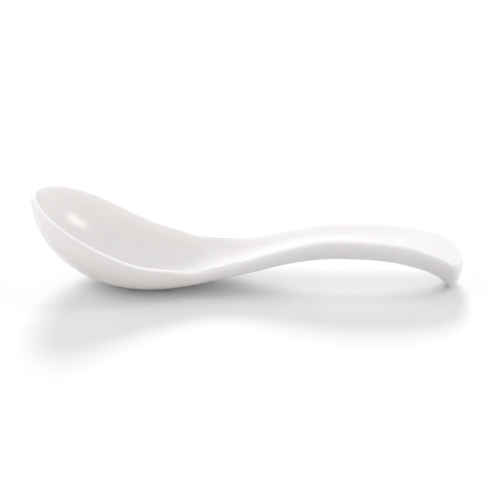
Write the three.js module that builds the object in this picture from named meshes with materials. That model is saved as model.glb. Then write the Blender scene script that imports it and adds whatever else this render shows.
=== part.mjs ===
// A soup spoon moulded in one piece from hard white plastic.
// A deep raked bowl runs through a channelled neck into a solid arched handle, which ends in a
// downturned hook. Millimetres, +Z up: X runs from the bowl's tip to the handle's end, the spoon is
// symmetrical about Y = 0, and the table that it lies on is Z = 0.
import * as THREE from 'three';
import { mergeVertices } from 'three/addons/utils/BufferGeometryUtils.js';

const { lerp, smoothstep, degToRad } = THREE.MathUtils;

// Lengths between the stations of the rim line, from the bowl's tip to the handle's end
const tipToWidest = 26;
const widestToHeel = 18;
const heelToNeck = 15;
const neckToCrown = 49;
const crownToPalm = 38;
const palmToEnd = 4;

// Widths across the rim line, with the slope of each edge in plan
const widestWidth = 45;
const heelWidth = 39.8;
const heelFlare = -0.26;
const neckWidth = 32;
const neckFlare = -0.3;
const crownWidth = 21;
const crownFlare = 0.03;
const palmWidth = 22.8;
const palmFlare = -0.1;

// Heights of the rim line above the table, with its slope in side view
const tipHeight = 32;
const widestHeight = 19.2;
const widestSlope = -0.5;
const heelHeight = 12.4;
const heelSlope = -0.17;
const neckHeight = 9.95;
const crownHeight = 18.9;
const palmHeight = 12.2;
const palmSlope = -0.52;
const endHeight = 10.6;

// Roundness in plan: how far each handle of the tip's and the end's curves reaches to the corner
const tipFullness = 0.4;
const bowlFullness = 0.66;
const palmFullness = 0.52;
const endFullness = 0.52;

// Depths below the rim line and thicknesses of the plastic along the middle
const heelWall = 2.4;
const neckDepth = 5.55;
const neckRise = 0.36;
const neckWall = 2;
const neckLift = 0.29;
const crownDish = 0.6;
const crownThickness = 7.8;

// The hook's tip, measured from the handle's end, and the throat in front of it
const hookSetback = 5.2;
const hookThroat = 8;

// The rests: how deep the bowl's round bottom and the hook's tip are cut flat, and the cut's soft edge
const footDepth = 0.6;
const hookDepth = 0.3;
const footEdge = 0.2;

// The rim of the bowl, and how round the outer edge is on the bowl, the handle and the hook
const bowlRim = 1.9;
const bowlInnerRadius = 0.5;
const bowlEdgeRadius = 0.8;
const handleEdgeRadius = 3.4;
const hookEdgeRadius = 1.4;

// Shape of the cross-section: the angle that the bowl's dish turns through up to the rim, and the
// power of the outer wall's superellipse, from 2 for a round wall to 4 and more for a square one
const bowlDishAngle = degToRad(86);
const bowlWallPower = 2.1;
const handleWallPower = 2.3;
const hookWallPower = 1.9;

// Lengths over which the bowl's section becomes the handle's, and the handle's becomes the hook's
const neckFade = 22;
const hookFade = 15;

// Fineness of the mesh: columns between stations, and rows across each part of the section
const columns = { front: 14, flank: 8, rear: 8, neck: 14, arch: 16, end: 8 };
const rows = { dish: 12, fillet: 3, edge: 4, wall: 14 };

const plastic = new THREE.MeshStandardMaterial({ color: 0xf3f1ee, roughness: 0.28, metalness: 0 });

// Places of the stations along X, with the origin under the middle of the spoon
const length = tipToWidest + widestToHeel + heelToNeck + neckToCrown + crownToPalm + palmToEnd;
const tipX = -length / 2;
const widestX = tipX + tipToWidest;
const heelX = widestX + widestToHeel;
const neckX = heelX + heelToNeck;
const crownX = neckX + neckToCrown;
const palmX = crownX + crownToPalm;
const endX = palmX + palmToEnd;
const hookX = endX - hookSetback;

const point = (x, y, z) => new THREE.Vector3(x, y, z);

// A station of a rail: its point and the direction in which the rail passes it, per millimetre of X
const station = (x, y, z, flare, slope) => ({ at: point(x, y, z), way: point(1, flare, slope) });

// A curve between two stations that advances evenly along X
function fair(from, to) {
  const third = (to.at.x - from.at.x) / 3;
  const leave = from.at.clone().addScaledVector(from.way, third);
  const arrive = to.at.clone().addScaledVector(to.way, -third);
  return new THREE.CubicBezierCurve3(from.at, leave, arrive, to.at);
}

// A rail's stretch that stays at one point, for the fans of sections round the bowl and the hook
const pole = (at) => new THREE.CubicBezierCurve3(at, at, at, at);

// The rim line: the outer edge of the bowl and of the handle's top, on the +Y side
function rimRail() {
  const tip = point(tipX, 0, tipHeight);
  const widest = station(widestX, widestWidth / 2, widestHeight, 0, widestSlope);
  const heel = station(heelX, heelWidth / 2, heelHeight, heelFlare, heelSlope);
  const neck = station(neckX, neckWidth / 2, neckHeight, neckFlare, 0);
  const crown = station(crownX, crownWidth / 2, crownHeight, crownFlare, 0);
  const palm = station(palmX, palmWidth / 2, palmHeight, palmFlare, palmSlope);
  const end = point(endX, 0, endHeight);

  const tipLeave = point(tipX, tipFullness * widest.at.y, tipHeight);
  const widestArrive = widest.at.clone().addScaledVector(widest.way, -bowlFullness * tipToWidest);
  const palmLeave = palm.at.clone().addScaledVector(palm.way, palmFullness * palmToEnd);
  const endArrive = point(endX, endFullness * palm.at.y, endHeight);
  return [
    new THREE.CubicBezierCurve3(tip, tipLeave, widestArrive, widest.at),
    fair(widest, heel),
    fair(heel, neck),
    fair(neck, crown),
    fair(crown, palm),
    new THREE.CubicBezierCurve3(palm.at, palmLeave, endArrive, end),
  ];
}

// The floor line: the lowest line of the bowl, the neck's channel and the handle's dished top, where
// the dish runs out at the palm
function floorRail() {
  const heel = station(heelX, 0, heelWall, 0, 0);
  const neck = station(neckX, 0, neckHeight - neckDepth, 0, neckRise);
  const crown = station(crownX, 0, crownHeight - crownDish, 0, 0);
  const palm = station(palmX, 0, palmHeight, 0, palmSlope);
  return [
    pole(heel.at),
    pole(heel.at),
    fair(heel, neck),
    fair(neck, crown),
    fair(crown, palm),
    pole(palm.at),
  ];
}

// The keel line: the lowest line of the outside, down the hook's inner curve to its tip
function keelRail() {
  const heel = station(heelX, 0, -footDepth, 0, 0);
  const neck = station(neckX, 0, neckHeight - neckDepth - neckWall, 0, neckLift);
  const crown = station(crownX, 0, crownHeight - crownThickness, 0, 0);
  const throat = point(hookX - hookThroat, 0, crown.at.z);
  const hook = point(hookX, 0, -hookDepth);
  return [
    pole(heel.at),
    pole(heel.at),
    fair(heel, neck),
    fair(neck, crown),
    new THREE.CubicBezierCurve3(crown.at, throat, throat, hook),
    pole(hook),
  ];
}

// Height of a point of the outside once the bottom is cut flat at the table, with a soft edge
function settled(z) {
  const nearness = Math.max(footEdge - Math.abs(z), 0) / footEdge;
  return Math.max(z, 0) + footEdge * nearness ** 3 / 6;
}

// Points of the bowl's top in (distance out, height): an elliptical dish that is level at the floor
// line and meets the level rim in a small fillet
function bowlTop(reach, floorZ, rimZ) {
  const dishReach = reach - bowlRim;
  const dishDepth = rimZ - bowlInnerRadius - floorZ;
  const profile = [];
  for (let i = 0; i <= rows.dish; i++) {
    const angle = bowlDishAngle * i / rows.dish;
    const out = dishReach * Math.sin(angle) / Math.sin(bowlDishAngle);
    const up = dishDepth * (1 - Math.cos(angle)) / (1 - Math.cos(bowlDishAngle));
    profile.push(new THREE.Vector2(out, floorZ + up));
  }
  const fillet = new THREE.QuadraticBezierCurve(
    new THREE.Vector2(dishReach, rimZ - bowlInnerRadius),
    new THREE.Vector2(dishReach, rimZ),
    new THREE.Vector2(dishReach + bowlInnerRadius, rimZ),
  );
  for (let i = 1; i <= rows.fillet; i++) {
    profile.push(fillet.getPoint(i / rows.fillet));
  }
  return profile;
}

// Points of the handle's top: it leaves the crest over the floor line at the tilt of the palm and bends
// to the rim, with a shallow wave sunk into it that is level in the middle and at the shoulders
function handleTop(reach, floorZ, crestZ, rimZ, tilt) {
  const profile = [];
  const steps = rows.dish + rows.fillet + 1;
  for (let i = 0; i < steps; i++) {
    const share = i / steps;
    const bent = crestZ + tilt * share + (rimZ - crestZ - tilt) * share ** 2;
    const sunk = (crestZ - floorZ) * (1 + Math.cos(Math.PI * share)) / 2;
    profile.push(new THREE.Vector2(share * reach, bent - sunk));
  }
  return profile;
}

// One half-section, from the floor line out over the rim and down the outer wall to the keel line
function halfSection(rim, floor, keel) {
  const handleShare = smoothstep(rim.x, heelX, neckX + neckFade);
  const hookShare = smoothstep(rim.x, hookX - hookFade, hookX);
  const edgeRadius = lerp(lerp(bowlEdgeRadius, handleEdgeRadius, handleShare), hookEdgeRadius, hookShare);
  const wallPower = lerp(lerp(bowlWallPower, handleWallPower, handleShare), hookWallPower, hookShare);

  const across = point(rim.x - floor.x, rim.y - floor.y, 0);
  const reach = across.length();
  across.normalize();
  const onTop = (out, z) => point(floor.x + across.x * out, floor.y + across.y * out, z);

  // The top, from the bowl's dish to the handle's wave
  const crestZ = rim.x > palmX ? palmHeight : rim.z;
  const shoulder = reach - edgeRadius;
  const tilt = palmSlope * across.x * shoulder;
  const dish = bowlTop(reach, floor.z, rim.z);
  const wave = handleTop(shoulder, floor.z, crestZ, rim.z, tilt);
  const points = dish.map((p, i) => onTop(lerp(p.x, wave[i].x, handleShare), lerp(p.y, wave[i].y, handleShare)));

  // The rounded outer edge
  for (let i = 0; i <= rows.edge; i++) {
    const angle = Math.PI / 2 * i / rows.edge;
    const inset = edgeRadius * (1 - Math.sin(angle));
    const drop = edgeRadius * (1 - Math.cos(angle));
    points.push(onTop(reach - inset, rim.z - drop));
  }

  // The outer wall, a quarter of a superellipse down to the keel line
  const wallTop = rim.z - edgeRadius;
  for (let i = 1; i <= rows.wall; i++) {
    const angle = Math.PI / 2 * i / rows.wall;
    const out = Math.max(Math.cos(angle), 0) ** (2 / wallPower);
    const down = Math.sin(angle) ** (2 / wallPower);
    const x = lerp(keel.x, rim.x, out);
    const z = lerp(wallTop, keel.z, down);
    points.push(point(x, rim.y * out, settled(z)));
  }
  return points;
}

// The half-sections in order from the bowl's tip to the handle's end, on the +Y side
function halfSections() {
  const rim = rimRail();
  const floor = floorRail();
  const keel = keelRail();
  const sections = [];
  Object.values(columns).forEach((count, k) => {
    const last = k === rim.length - 1 ? 1 : 0;
    for (let i = 0; i < count + last; i++) {
      const t = i / count;
      sections.push(halfSection(rim[k].getPoint(t), floor[k].getPoint(t), keel[k].getPoint(t)));
    }
  });
  return sections;
}

// The closed skin: sections down one side of the spoon and back along the other, welded along the
// floor line and the keel line
function spoonGeometry() {
  const left = halfSections();
  const mirrored = (section) => section.map((p) => point(p.x, -p.y, p.z));
  const right = left.slice(1, -1).reverse().map(mirrored);
  const ring = [...left, ...right];
  const rowCount = ring[0].length;

  const positions = ring.flat().flatMap((p) => [p.x, p.y, p.z]);
  const faces = [];
  ring.forEach((section, i) => {
    const here = i * rowCount;
    const next = (i + 1) % ring.length * rowCount;
    for (let j = 0; j < rowCount - 1; j++) {
      faces.push(here + j, next + j, here + j + 1);
      faces.push(next + j, next + j + 1, here + j + 1);
    }
  });

  const skin = new THREE.BufferGeometry();
  skin.setAttribute('position', new THREE.Float32BufferAttribute(positions, 3));
  skin.setIndex(faces);
  const welded = mergeVertices(skin, 1e-4);
  const kept = [];
  const index = welded.index.array;
  for (let i = 0; i < index.length; i += 3) {
    const [a, b, c] = index.slice(i, i + 3);
    if (a !== b && b !== c && c !== a) {
      kept.push(a, b, c);
    }
  }
  welded.setIndex(kept);
  welded.computeVertexNormals();
  return welded;
}

const spoon = new THREE.Mesh(spoonGeometry(), plastic);
spoon.name = 'spoon';

const soupSpoon = new THREE.Group();
soupSpoon.add(spoon);

export default soupSpoon;
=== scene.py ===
import math

import bmesh
import bpy
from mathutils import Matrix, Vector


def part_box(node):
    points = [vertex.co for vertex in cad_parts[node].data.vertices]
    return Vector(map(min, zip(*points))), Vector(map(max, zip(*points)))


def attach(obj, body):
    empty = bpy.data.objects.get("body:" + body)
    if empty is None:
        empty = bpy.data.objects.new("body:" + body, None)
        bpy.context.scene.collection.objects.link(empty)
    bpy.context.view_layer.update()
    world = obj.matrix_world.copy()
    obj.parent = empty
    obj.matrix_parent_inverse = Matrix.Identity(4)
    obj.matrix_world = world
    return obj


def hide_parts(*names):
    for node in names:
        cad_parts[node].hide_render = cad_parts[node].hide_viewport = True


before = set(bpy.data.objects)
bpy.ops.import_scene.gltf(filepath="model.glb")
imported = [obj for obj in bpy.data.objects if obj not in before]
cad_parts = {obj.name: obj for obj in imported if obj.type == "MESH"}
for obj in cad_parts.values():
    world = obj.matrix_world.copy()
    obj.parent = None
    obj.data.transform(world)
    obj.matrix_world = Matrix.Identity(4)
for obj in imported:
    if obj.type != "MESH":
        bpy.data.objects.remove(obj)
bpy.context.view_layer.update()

# The spoon
# One solid moulding in white melamine, pressed in a two-part mould and polished: a raked bowl with a
# flat foot, a channelled neck, and an arched handle with a downturned hook. Nothing is fixed to it.
# Its skin is a loft over three lines: the rim line, the floor line inside and the keel line outside.
mm = 0.001

# Lengths between the stations of the rim line, from the bowl's tip to the handle's end
tip_to_widest = 26 * mm
widest_to_heel = 18 * mm
heel_to_neck = 15 * mm
neck_to_crown = 49 * mm
crown_to_palm = 38 * mm
palm_to_end = 4 * mm

# Half-widths at the rim line, with the slope of the edge in plan
widest_half = 22.5 * mm
heel_half, heel_flare = 19.9 * mm, -0.26
neck_half, neck_flare = 16 * mm, -0.3
crown_half, crown_flare = 10.5 * mm, 0.03
palm_half, palm_flare = 11.4 * mm, -0.1

# Heights of the rim line above the table, with its slope in side view
tip_height = 32 * mm
widest_height, widest_slope = 19.2 * mm, -0.5
heel_height, heel_slope = 12.4 * mm, -0.17
neck_height = 9.95 * mm
crown_height = 18.9 * mm
palm_height, palm_slope = 12.2 * mm, -0.52
end_height = 10.6 * mm

# Roundness in plan of the bowl's tip and the handle's end
tip_fullness, bowl_fullness = 0.4, 0.66
palm_fullness, end_fullness = 0.52, 0.52

# Depths below the rim line and thicknesses of the plastic along the middle
heel_wall = 2.4 * mm
neck_depth, neck_rise = 5.55 * mm, 0.36
neck_wall, neck_lift = 2 * mm, 0.29
crown_dish, crown_thickness = 0.6 * mm, 7.8 * mm
hook_setback, hook_throat = 5.2 * mm, 8 * mm
foot_depth, hook_depth, foot_edge = 0.6 * mm, 0.3 * mm, 0.2 * mm

# Lengths past the neck and before the hook over which the section changes
neck_run = 22 * mm
hook_run = 15 * mm

# Places of the stations along X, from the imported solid's end
tip_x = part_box("spoon")[0].x
widest_x = tip_x + tip_to_widest
heel_x = widest_x + widest_to_heel
neck_x = heel_x + heel_to_neck
crown_x = neck_x + neck_to_crown
palm_x = crown_x + crown_to_palm
end_x = palm_x + palm_to_end
hook_x = end_x - hook_setback

# Fineness of the skin along the lines
stretches = 6
steps_per_stretch = 44


def beside(point, way, distance):
    """The point that lies a distance in X from another along a way given per metre of X."""
    return tuple(p + w * distance for p, w in zip(point, way))


def knot(point, flare=0.0, slope=0.0, before=0.0, after=0.0):
    """A station of a line: its point, and the handles before and after it."""
    way = (1.0, flare, slope)
    return beside(point, way, -before / 3), point, beside(point, way, after / 3)


def line(name, knots):
    """A curve through stations, each with its own two handles."""
    curve = bpy.data.curves.new(name, "CURVE")
    curve.dimensions = "3D"
    spline = curve.splines.new("BEZIER")
    spline.resolution_u = steps_per_stretch
    spline.bezier_points.add(len(knots) - 1)
    for station, (before, point, after) in zip(spline.bezier_points, knots):
        station.handle_left_type = station.handle_right_type = "FREE"
        station.handle_left, station.co, station.handle_right = before, point, after
    made = bpy.data.objects.new(name, curve)
    bpy.context.scene.collection.objects.link(made)
    return made


tip = (tip_x, 0, tip_height)
widest = (widest_x, widest_half, widest_height)
palm = (palm_x, palm_half, palm_height)
end = (end_x, 0, end_height)
rim_line = line("rim_line", [
    (tip, tip, (tip_x, tip_fullness * widest_half, tip_height)),
    knot(widest, 0, widest_slope, 3 * bowl_fullness * tip_to_widest, widest_to_heel),
    knot((heel_x, heel_half, heel_height), heel_flare, heel_slope, widest_to_heel, heel_to_neck),
    knot((neck_x, neck_half, neck_height), neck_flare, 0, heel_to_neck, neck_to_crown),
    knot((crown_x, crown_half, crown_height), crown_flare, 0, neck_to_crown, crown_to_palm),
    knot(palm, palm_flare, palm_slope, crown_to_palm, 3 * palm_fullness * palm_to_end),
    ((end_x, end_fullness * palm_half, end_height), end, end),
])

floor_heel = (heel_x, 0, heel_wall)
floor_neck = (neck_x, 0, neck_height - neck_depth)
floor_crown = (crown_x, 0, crown_height - crown_dish)
floor_palm = (palm_x, 0, palm_height)
floor_line = line("floor_line", [
    knot(floor_heel),
    knot(floor_heel),
    knot(floor_heel, after=heel_to_neck),
    knot(floor_neck, 0, neck_rise, heel_to_neck, neck_to_crown),
    knot(floor_crown, 0, 0, neck_to_crown, crown_to_palm),
    knot(floor_palm, 0, palm_slope, crown_to_palm),
    knot(floor_palm),
])

keel_heel = (heel_x, 0, -foot_depth)
keel_neck = (neck_x, 0, neck_height - neck_depth - neck_wall)
keel_crown = (crown_x, 0, crown_height - crown_thickness)
throat = (hook_x - hook_throat, 0, crown_height - crown_thickness)
hook = (hook_x, 0, -hook_depth)
keel_line = line("keel_line", [
    knot(keel_heel),
    knot(keel_heel),
    knot(keel_heel, after=heel_to_neck),
    knot(keel_neck, 0, neck_lift, heel_to_neck, neck_to_crown),
    (knot(keel_crown, before=neck_to_crown)[0], keel_crown, throat),
    (throat, hook, hook),
    knot(hook),
])

# The loft's sizes, by the names of the node tree's inputs
melamine = bpy.data.materials.new("melamine")
loft_sizes = {
    "Rim Line": rim_line,
    "Floor Line": floor_line,
    "Keel Line": keel_line,
    "Columns": stretches * steps_per_stretch + 1,
    "Dish Rows": 36,
    "Fillet Rows": 8,
    "Edge Rows": 12,
    "Wall Rows": 44,
    "Bowl Rim": 1.9 * mm,
    "Bowl Inner Radius": 0.5 * mm,
    "Bowl Edge Radius": 0.8 * mm,
    "Handle Edge Radius": 3.4 * mm,
    "Hook Edge Radius": 1.4 * mm,
    "Bowl Dish Angle": math.radians(86),
    "Bowl Wall Power": 2.1,
    "Handle Wall Power": 2.3,
    "Hook Wall Power": 1.9,
    "Bowl Ends": heel_x,
    "Handle Begins": neck_x + neck_run,
    "Handle Ends": hook_x - hook_run,
    "Hook Begins": hook_x,
    "Palm": palm_x,
    "Palm Height": palm_height,
    "Palm Slope": palm_slope,
    "Foot Edge": foot_edge,
    "Weld": 0.002 * mm,
    "Melamine": melamine,
}
socket_kinds = {
    bpy.types.Object: "NodeSocketObject",
    bpy.types.Material: "NodeSocketMaterial",
    int: "NodeSocketInt",
    float: "NodeSocketFloat",
}

loft = bpy.data.node_groups.new("spoon_loft", "GeometryNodeTree")
loft_sockets = {}
for name, value in loft_sizes.items():
    kind = socket_kinds[type(value)]
    loft_sockets[name] = loft.interface.new_socket(name, in_out="INPUT", socket_type=kind)
loft.interface.new_socket("Spoon", in_out="OUTPUT", socket_type="NodeSocketGeometry")


class Field:
    """A number that varies over the skin, so that a section's formulas read as they are written."""

    def __init__(self, socket):
        self.socket = socket

    def __add__(self, other):
        return calc("ADD", self, other)

    def __radd__(self, other):
        return calc("ADD", other, self)

    def __sub__(self, other):
        return calc("SUBTRACT", self, other)

    def __rsub__(self, other):
        return calc("SUBTRACT", other, self)

    def __mul__(self, other):
        return calc("MULTIPLY", self, other)

    def __truediv__(self, other):
        return calc("DIVIDE", self, other)

    def __rtruediv__(self, other):
        return calc("DIVIDE", other, self)

    def __pow__(self, other):
        return calc("POWER", self, other)


def plug(value, socket):
    """Joins a field or a socket to an input, or sets the input to a plain value."""
    if isinstance(value, Field):
        value = value.socket
    if isinstance(value, bpy.types.NodeSocket):
        loft.links.new(value, socket)
    else:
        socket.default_value = value


def add_node(kind, inputs=None, **settings):
    """A node of the loft with its settings made and its named inputs joined."""
    made = loft.nodes.new(kind)
    for setting, value in settings.items():
        setattr(made, setting, value)
    for name, value in (inputs or {}).items():
        plug(value, made.inputs[name])
    return made


def calc(operation, *values):
    """One step of arithmetic on fields and plain numbers."""
    made = add_node("ShaderNodeMath", operation=operation)
    for value, socket in zip(values, made.inputs):
        plug(value, socket)
    return Field(made.outputs[0])


def between(start, finish, share):
    """The value at a share of the way from one value to another."""
    return start + (finish - start) * share


def fade(value, start, finish):
    """A smooth change from 0 to 1 as a value goes from start to finish."""
    limits = {"Value": value, "From Min": start, "From Max": finish}
    made = add_node("ShaderNodeMapRange", limits, interpolation_type="SMOOTHSTEP")
    return Field(made.outputs["Result"])


def part_of(row, first, count):
    """How far a row is through a run of rows, held at 0 before it and at 1 after it."""
    made = calc("DIVIDE", row - first, count)
    made.socket.node.use_clamp = True
    return made


def point_at(x, y, z):
    """The place with these three coordinates."""
    made = add_node("ShaderNodeCombineXYZ")
    for value, socket in zip((x, y, z), made.inputs):
        plug(value, socket)
    return made.outputs[0]


given = loft.nodes.new("NodeGroupInput").outputs
size = {name: Field(given[name]) for name, value in loft_sizes.items() if type(value) in (int, float)}

# Each vertex of the grid is one column along the spoon and one row across its section
row_count = size["Dish Rows"] + size["Fillet Rows"] + size["Edge Rows"] + size["Wall Rows"] + 2
index = Field(add_node("GeometryNodeInputIndex").outputs[0])
column = calc("FLOOR", index / row_count)
row = index - column * row_count
where = add_node("GeometryNodeInputPosition").outputs[0]


def along(line_name):
    """The X, Y and Z of a line at this column."""
    curve = add_node("GeometryNodeObjectInfo", {"Object": given[line_name]}).outputs["Geometry"]
    points = add_node("GeometryNodeCurveToPoints", {"Curve": curve}, mode="EVALUATED").outputs["Points"]
    picked = {"Geometry": points, "Value": where, "Index": column}
    sample = add_node("GeometryNodeSampleIndex", picked, data_type="FLOAT_VECTOR")
    parts = add_node("ShaderNodeSeparateXYZ", {"Vector": sample.outputs["Value"]})
    return [Field(socket) for socket in parts.outputs]


rim_x, rim_y, rim_z = along("Rim Line")
floor_x, _, floor_z = along("Floor Line")
keel_x, _, keel_z = along("Keel Line")

# How far the section has become the handle's, and then the hook's
handle_share = fade(rim_x, size["Bowl Ends"], size["Handle Begins"])
hook_share = fade(rim_x, size["Handle Ends"], size["Hook Begins"])


def by_place(shape):
    """A size that has one value on the bowl, one on the handle and one on the hook."""
    on_handle = between(size["Bowl " + shape], size["Handle " + shape], handle_share)
    return between(on_handle, size["Hook " + shape], hook_share)


edge_radius = by_place("Edge Radius")
wall_power = by_place("Wall Power")

# The way from the floor line out to the rim line in plan
across_x = rim_x - floor_x
reach = calc("SQRT", across_x ** 2 + rim_y ** 2)
shoulder = reach - edge_radius

# The bowl's top: an elliptical dish that meets the level rim in a small fillet
inner_radius = size["Bowl Inner Radius"]
dish_reach = reach - size["Bowl Rim"]
dish_turn = size["Bowl Dish Angle"] * part_of(row, 0, size["Dish Rows"])
fillet_turn = part_of(row, size["Dish Rows"], size["Fillet Rows"])
dish_out = dish_reach * calc("SINE", dish_turn) / calc("SINE", size["Bowl Dish Angle"])
dish_rise = (1 - calc("COSINE", dish_turn)) / (1 - calc("COSINE", size["Bowl Dish Angle"]))
bowl_out = dish_out + inner_radius * fillet_turn ** 2
bowl_z = between(floor_z, rim_z - inner_radius, dish_rise) + inner_radius * (1 - (1 - fillet_turn) ** 2)

# The handle's top: it bends from the crest to the rim, with a shallow wave sunk into it
top_rows = size["Dish Rows"] + size["Fillet Rows"] + 1
share = part_of(row, 0, top_rows)
past_palm = calc("GREATER_THAN", rim_x, size["Palm"] + size["Weld"])
crest_z = between(rim_z, size["Palm Height"], past_palm)
tilt = size["Palm Slope"] * across_x * shoulder / reach
bent = crest_z + tilt * share + (rim_z - crest_z - tilt) * share ** 2
sunk = (crest_z - floor_z) * (1 + calc("COSINE", share * math.pi)) / 2
top_out = between(bowl_out, shoulder * share, handle_share) / reach
top_z = between(bowl_z, bent - sunk, handle_share)
top = point_at(floor_x + across_x * top_out, rim_y * top_out, top_z)

# The rounded outer edge
edge_turn = part_of(row, top_rows, size["Edge Rows"]) * (math.pi / 2)
edge_out = (reach - edge_radius * (1 - calc("SINE", edge_turn))) / reach
edge_z = rim_z - edge_radius * (1 - calc("COSINE", edge_turn))
edge = point_at(floor_x + across_x * edge_out, rim_y * edge_out, edge_z)

# The outer wall: a quarter of a superellipse down to the keel line, cut flat at the table
wall_turn = part_of(row, top_rows + size["Edge Rows"], size["Wall Rows"]) * (math.pi / 2)
wall_out = calc("MAXIMUM", calc("COSINE", wall_turn), 0) ** (2 / wall_power)
wall_down = calc("SINE", wall_turn) ** (2 / wall_power)
wall_z = between(rim_z - edge_radius, keel_z, wall_down)
settled_z = calc("SMOOTH_MAX", wall_z, 0, size["Foot Edge"])
wall = point_at(between(keel_x, rim_x, wall_out), rim_y * wall_out, settled_z)


def first_rows(count, inside, outside):
    """One place for the rows below a count and another for the rest."""
    picked = {"Switch": calc("LESS_THAN", row, count), "False": outside, "True": inside}
    return add_node("GeometryNodeSwitch", picked, input_type="VECTOR").outputs[0]


skin_place = first_rows(top_rows, top, first_rows(top_rows + size["Edge Rows"] + 1, edge, wall))

# One half of the skin, its mirror image, and the weld between them
grid = add_node("GeometryNodeMeshGrid", {"Vertices X": size["Columns"], "Vertices Y": row_count})
half = add_node("GeometryNodeSetPosition", {"Geometry": grid.outputs["Mesh"], "Position": skin_place})
turned = add_node("GeometryNodeTransform", {"Geometry": half.outputs[0], "Scale": (1, -1, 1)})
other_half = add_node("GeometryNodeFlipFaces", {"Mesh": turned.outputs[0]})
both = add_node("GeometryNodeJoinGeometry", {"Geometry": half.outputs[0]})
plug(other_half.outputs[0], both.inputs[0])
welded = add_node("GeometryNodeMergeByDistance", {"Geometry": both.outputs[0], "Distance": size["Weld"]})
smooth = add_node("GeometryNodeSetShadeSmooth", {"Geometry": welded.outputs[0]})
real = add_node("GeometryNodeRealizeInstances", {"Geometry": smooth.outputs[0]})
coloured = {"Geometry": real.outputs[0], "Material": given["Melamine"]}
finished = add_node("GeometryNodeSetMaterial", coloured)
plug(finished.outputs[0], loft.nodes.new("NodeGroupOutput").inputs[0])

# The loft is made once into a plain mesh, with its faces pointing out
moulding = bpy.data.objects.new("moulding", bpy.data.meshes.new("moulding"))
bpy.context.scene.collection.objects.link(moulding)
lofting = moulding.modifiers.new("spoon_loft", "NODES")
lofting.node_group = loft
for name, value in loft_sizes.items():
    lofting[loft_sockets[name].identifier] = value
evaluated = moulding.evaluated_get(bpy.context.evaluated_depsgraph_get())
moulded = bpy.data.meshes.new_from_object(evaluated)
moulding.modifiers.remove(lofting)
moulding.data = moulded
skin = bmesh.new()
skin.from_mesh(moulded)
bmesh.ops.recalc_face_normals(skin, faces=skin.faces)
skin.to_mesh(moulded)
skin.free()
for made_line in (rim_line, floor_line, keel_line):
    bpy.data.objects.remove(made_line)

# Melamine: a slightly warm white that lets a little light through, with the soft gloss of a polished
# mould. Its colour and polish are a little uneven, and the places that rub on the table are duller.
melamine.use_nodes = True
shades = melamine.node_tree
gloss = shades.nodes["Principled BSDF"]
gloss.inputs["IOR"].default_value = 1.55
gloss.inputs["Subsurface Weight"].default_value = 1
gloss.inputs["Subsurface Radius"].default_value = (1, 0.85, 0.8)
gloss.inputs["Subsurface Scale"].default_value = 2 * mm
place = shades.nodes.new("ShaderNodeTexCoord").outputs["Object"]


def unevenness(scale, detail):
    """A noise over the surface, with its scale in waves per metre."""
    noise = shades.nodes.new("ShaderNodeTexNoise")
    noise.inputs["Scale"].default_value = scale
    noise.inputs["Detail"].default_value = detail
    shades.links.new(place, noise.inputs["Vector"])
    return noise.outputs["Fac"]


def scaled(value, low, high, from_low=0, from_high=1):
    """A value carried from one range to another, and held at the ends."""
    carried = shades.nodes.new("ShaderNodeMapRange")
    limits = {"From Min": from_low, "From Max": from_high, "To Min": low, "To Max": high}
    for name, limit in limits.items():
        carried.inputs[name].default_value = limit
    shades.links.new(value, carried.inputs["Value"])
    return carried.outputs["Result"]


tint = shades.nodes.new("ShaderNodeMix")
tint.data_type = "RGBA"
tint.inputs["A"].default_value = (0.916, 0.895, 0.889, 1)
tint.inputs["B"].default_value = (0.925, 0.904, 0.898, 1)
shades.links.new(unevenness(scale=30, detail=1), tint.inputs["Factor"])
shades.links.new(tint.outputs["Result"], gloss.inputs["Base Color"])

height = shades.nodes.new("ShaderNodeSeparateXYZ")
shades.links.new(place, height.inputs[0])
rubbed = scaled(height.outputs["Z"], low=0.16, high=0, from_low=0.1 * mm, from_high=0.6 * mm)
polished = scaled(unevenness(scale=90, detail=2), low=0.2, high=0.24)
polish = shades.nodes.new("ShaderNodeMath")
shades.links.new(polished, polish.inputs[0])
shades.links.new(rubbed, polish.inputs[1])
shades.links.new(polish.outputs[0], gloss.inputs["Roughness"])

ripple = shades.nodes.new("ShaderNodeBump")
ripple.inputs["Strength"].default_value = 0.15
ripple.inputs["Distance"].default_value = 0.01 * mm
shades.links.new(unevenness(scale=700, detail=1), ripple.inputs["Height"])
shades.links.new(ripple.outputs["Normal"], gloss.inputs["Normal"])

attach(moulding, "root")
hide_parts("spoon")

# The table
# A plain sheet of matt paper that runs out of the picture on all sides, so that it is the background
# too. It is seen as pure white, in the gloss as well, and throws back the light of a pale grey.
table_half = 4
table_height = -0.02 * mm
paper_tone = (0.74, 0.74, 0.74, 1)
table_mesh = bpy.data.meshes.new("table")
corners = [(-1, -1), (1, -1), (1, 1), (-1, 1)]
table_points = [(x * table_half, y * table_half, table_height) for x, y in corners]
table_mesh.from_pydata(table_points, [], [(0, 1, 2, 3)])
table = bpy.data.objects.new("table", table_mesh)
bpy.context.scene.collection.objects.link(table)
paper = bpy.data.materials.new("white_paper")
paper.use_nodes = True
paper_surface = paper.node_tree.nodes["Principled BSDF"]


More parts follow.
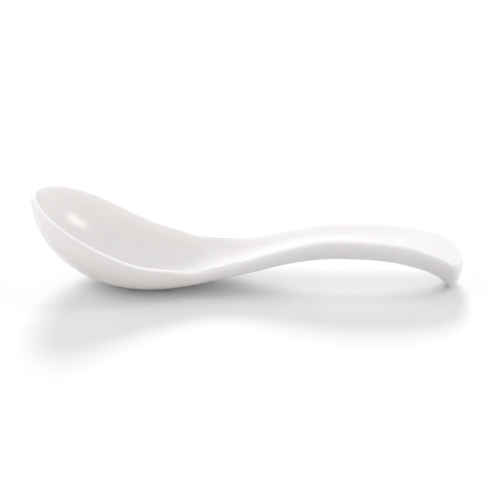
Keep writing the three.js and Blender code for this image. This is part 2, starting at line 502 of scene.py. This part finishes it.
def seen_white(tree, tone, socket):
    """Gives a socket a tone for the light that it throws, and white where it is seen."""
    light_path = tree.nodes.new("ShaderNodeLightPath")
    seen = light_path.outputs["Is Camera Ray"]
    for sight in ("Is Glossy Ray", "Is Transmission Ray"):
        either = tree.nodes.new("ShaderNodeMath")
        either.operation = "MAXIMUM"
        tree.links.new(seen, either.inputs[0])
        tree.links.new(light_path.outputs[sight], either.inputs[1])
        seen = either.outputs[0]
    whitened = tree.nodes.new("ShaderNodeMix")
    whitened.data_type = "RGBA"
    whitened.inputs["A"].default_value = tone
    whitened.inputs["B"].default_value = (1, 1, 1, 1)
    tree.links.new(seen, whitened.inputs["Factor"])
    tree.links.new(whitened.outputs["Result"], socket)


seen_white(paper.node_tree, paper_tone, paper_surface.inputs["Base Color"])
paper_surface.inputs["Roughness"].default_value = 0.9
paper_surface.inputs["Specular IOR Level"].default_value = 0
table_mesh.materials.append(paper)

# The light
# A broad soft lamp low behind the spoon throws its shadow towards the camera and is masked from the
# gloss. A small lamp on the right makes the streak in the bowl, a wide one on the left lights the near
# side of the bowl, and an even, slightly cool surround fills the rest. It too is seen as white.
key_elevation = math.radians(28)
key_turn = math.radians(4)
key_lamp = bpy.data.lights.new("key_lamp", "SUN")
key_lamp.energy = 1.8
key_lamp.angle = math.radians(20)
key = bpy.data.objects.new("key_lamp", key_lamp)
key.rotation_euler = (key_elevation - math.pi / 2, 0, key_turn)
key.visible_glossy = False
bpy.context.scene.collection.objects.link(key)


def panel(name, azimuth, elevation, width, height, power):
    """A soft lamp a metre from the spoon that faces it, placed by its bearing from the back."""
    lamp = bpy.data.lights.new(name, "AREA")
    lamp.shape = "RECTANGLE"
    lamp.size, lamp.size_y = width, height
    lamp.energy = power
    made = bpy.data.objects.new(name, lamp)
    azimuth, elevation = math.radians(azimuth), math.radians(elevation)
    level = math.cos(elevation)
    made.location = (math.sin(azimuth) * level, math.cos(azimuth) * level, math.sin(elevation))
    made.rotation_euler = (elevation - math.pi / 2, 0, -azimuth)
    bpy.context.scene.collection.objects.link(made)


panel("right_lamp", azimuth=78, elevation=34, width=0.3, height=0.34, power=1.6)
panel("left_lamp", azimuth=270, elevation=35, width=1, height=0.8, power=2.3)

surround_tone = (0.58, 0.58, 0.586, 1)
surround = bpy.data.worlds.new("surround")
bpy.context.scene.world = surround
surround.use_nodes = True
surround_light = surround.node_tree.nodes["Background"]
seen_white(surround.node_tree, surround_tone, surround_light.inputs["Color"])
surround_light.inputs["Strength"].default_value = 1

# The camera
# It stands a little to the right of the spoon's middle and looks down at it through a long lens.
camera_distance = 0.9
camera_elevation = math.radians(25)
camera_azimuth = math.radians(2)
aim = (0.862 * mm, 0, 11.636 * mm)
pixels_per_metre = 2871
image_width = 500
camera = bpy.data.objects.new("camera", bpy.data.cameras.new("camera"))
camera.data.sensor_width = 36
camera.data.lens = camera.data.sensor_width * pixels_per_metre * camera_distance / image_width
camera.rotation_euler = (math.pi / 2 - camera_elevation, 0, camera_azimuth)
backward = (
    math.sin(camera_azimuth) * math.cos(camera_elevation),
    -math.cos(camera_azimuth) * math.cos(camera_elevation),
    math.sin(camera_elevation),
)
camera.location = [a + b * camera_distance for a, b in zip(aim, backward)]
bpy.context.scene.collection.objects.link(camera)
bpy.context.scene.camera = camera
bpy.context.scene.view_settings.view_transform = "Standard"
